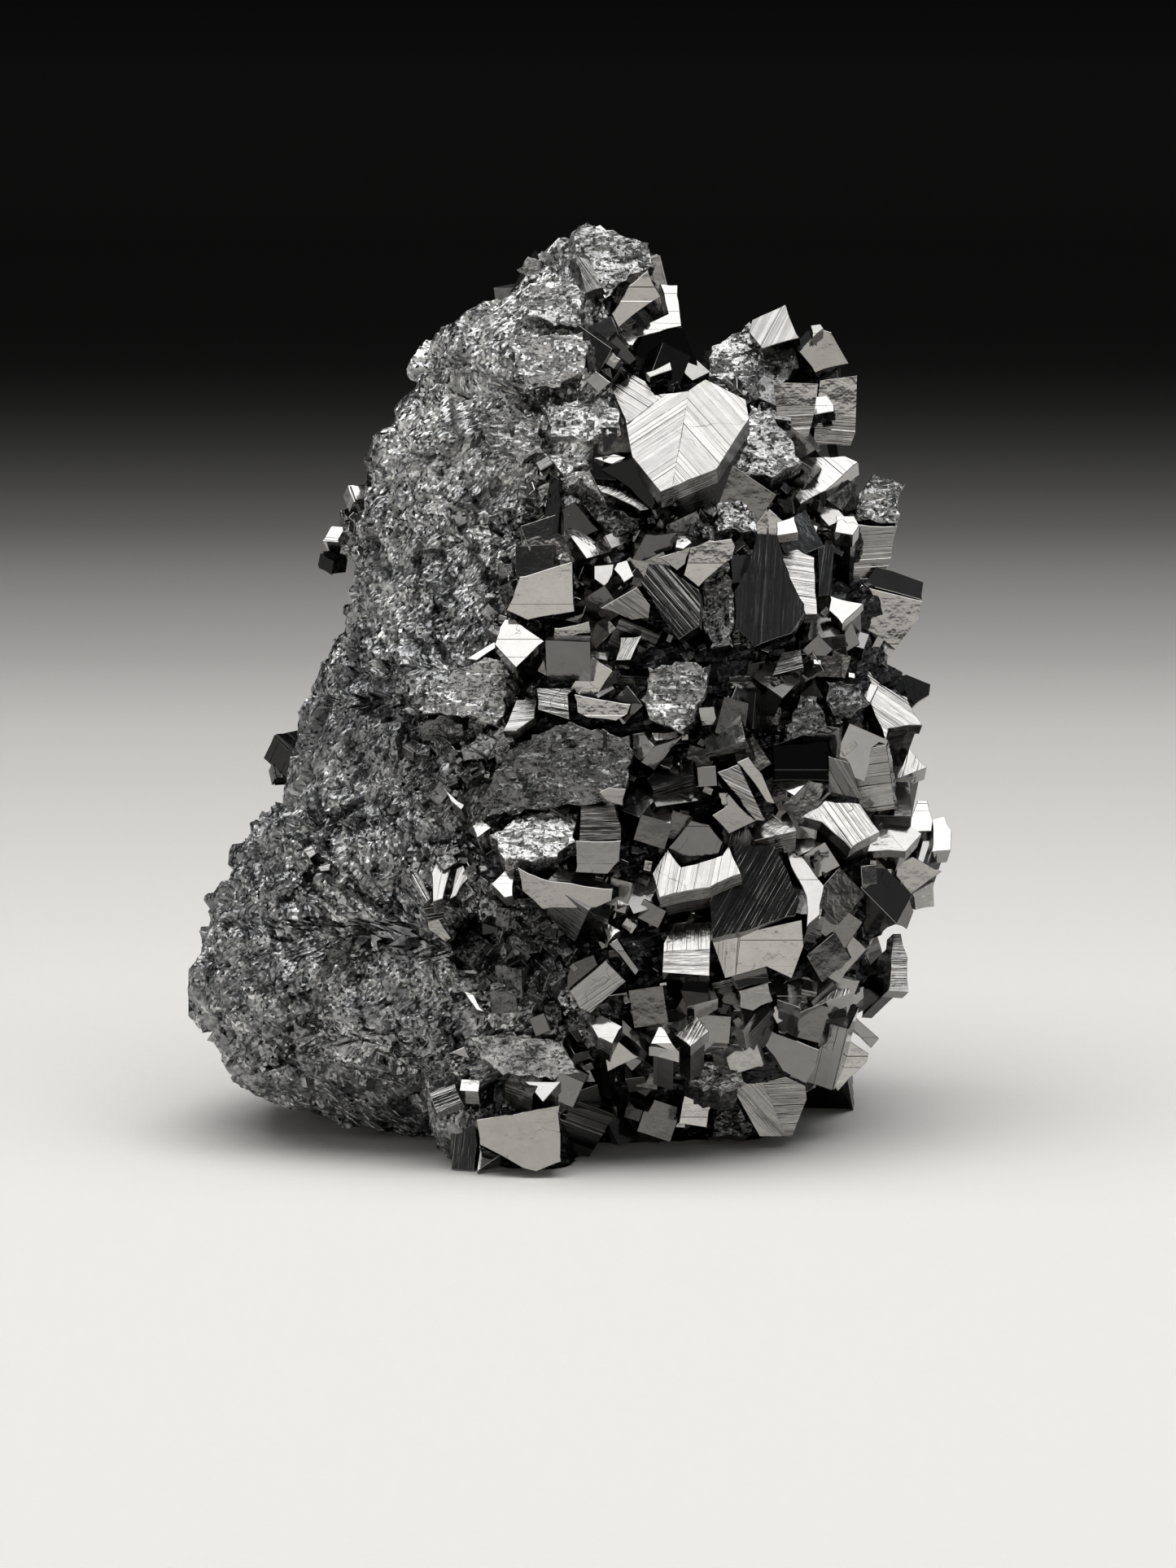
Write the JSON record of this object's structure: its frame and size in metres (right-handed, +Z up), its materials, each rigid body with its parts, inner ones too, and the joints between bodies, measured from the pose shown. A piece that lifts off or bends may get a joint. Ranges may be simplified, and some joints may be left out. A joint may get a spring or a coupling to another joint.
{
  "type": "bixbyite specimen",
  "caption": "Free-standing mineral specimen: a broken granular mass with a crust of black, mirror-bright blocky crystals, resting on its flattened underside.",
  "frame": {"origin": "on the surface that the specimen stands on, under the middle of its bounding box", "axes": "+Z up, along the longest extent; -Y towards the viewer of the show face; +X to the viewer's right, on the crystal side"},
  "size_m": [0.0474, 0.0342, 0.0562],
  "materials": {
    "bixbyite": "black metallic mineral: mirror-bright crystal faces, glittering granular broken side"
  },
  "bodies": {
    "root": {"bixbyite_specimen": "bixbyite"}
  },
  "joints": []
}
